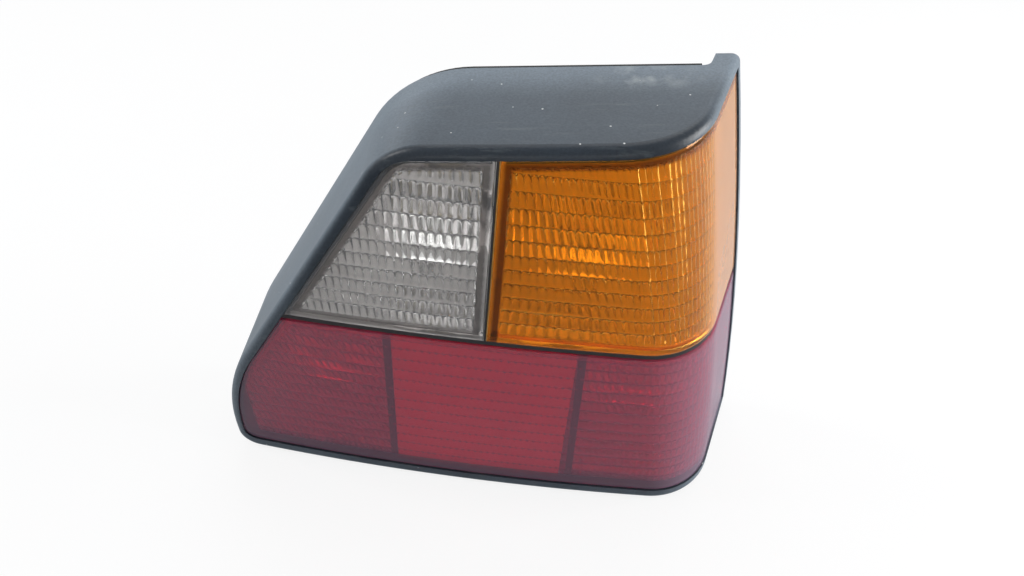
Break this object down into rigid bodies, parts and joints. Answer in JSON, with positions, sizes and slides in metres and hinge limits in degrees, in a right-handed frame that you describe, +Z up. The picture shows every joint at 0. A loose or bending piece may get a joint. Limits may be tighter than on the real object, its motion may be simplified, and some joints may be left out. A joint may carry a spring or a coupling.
{
  "type": "tail light cluster",
  "caption": "Wrap-round vehicle tail light with clear, amber and red lens fields in a dark moulded housing with a broad shelf; studs at the rear.",
  "frame": {"origin": "middle of the bounding box in plan, at the housing's foot", "axes": "+X towards the vehicle's outer side, where the lens wraps round; -Y the way the lens looks; +Z up"},
  "size_m": [0.2794, 0.088, 0.2257],
  "materials": {
    "housing_plastic": "fine matt grain, blue-grey",
    "gasket_rubber": "closed-cell foam rubber",
    "stud_steel": "zinc plated",
    "clear_acrylic": "clear moulded acrylic, aged and dusty",
    "amber_acrylic": "amber moulded acrylic",
    "red_acrylic": "red moulded acrylic, hazy with age",
    "reflex_acrylic": "red acrylic with a ridged rear face",
    "frame_plastic": "black front edges, silvered inner walls",
    "aluminised_plastic": "vacuum-aluminised",
    "carrier_plastic": "light grey, unpainted",
    "seal_rubber": "moulded rubber",
    "pin_brass": "tinned brass",
    "strip_brass": "bare stamped brass",
    "bulb_glass": "clear blown glass",
    "bulb_base_brass": "nickelled brass",
    "mount_steel": "wire and glass stem, shown as steel"
  },
  "bodies": {
    "root": {"housing": "housing_plastic", "housing_gasket": "gasket_rubber", "mounting_studs": "stud_steel", "reverse_lens": "clear_acrylic", "indicator_lens": "amber_acrylic", "red_lens": "red_acrylic", "reflex_reflector": "reflex_acrylic", "chamber_frame": "frame_plastic", "reflector_panel": "aluminised_plastic", "lamp_carrier": "carrier_plastic", "carrier_seal": "seal_rubber", "connector_pins": "pin_brass", "earth_strip": "strip_brass", "reverse_strip": "strip_brass", "indicator_strip": "strip_brass", "fog_strip": "strip_brass", "stop_strip": "strip_brass", "tail_strip": "strip_brass", "reverse_bulb_glass": "bulb_glass", "reverse_bulb_base": "bulb_base_brass", "reverse_bulb_mount": "mount_steel", "indicator_bulb_glass": "bulb_glass", "indicator_bulb_base": "bulb_base_brass", "indicator_bulb_mount": "mount_steel", "fog_bulb_glass": "bulb_glass", "fog_bulb_base": "bulb_base_brass", "fog_bulb_mount": "mount_steel", "stop_tail_bulb_glass": "bulb_glass", "stop_tail_bulb_base": "bulb_base_brass", "stop_tail_bulb_mount": "mount_steel"}
  },
  "joints": []
}
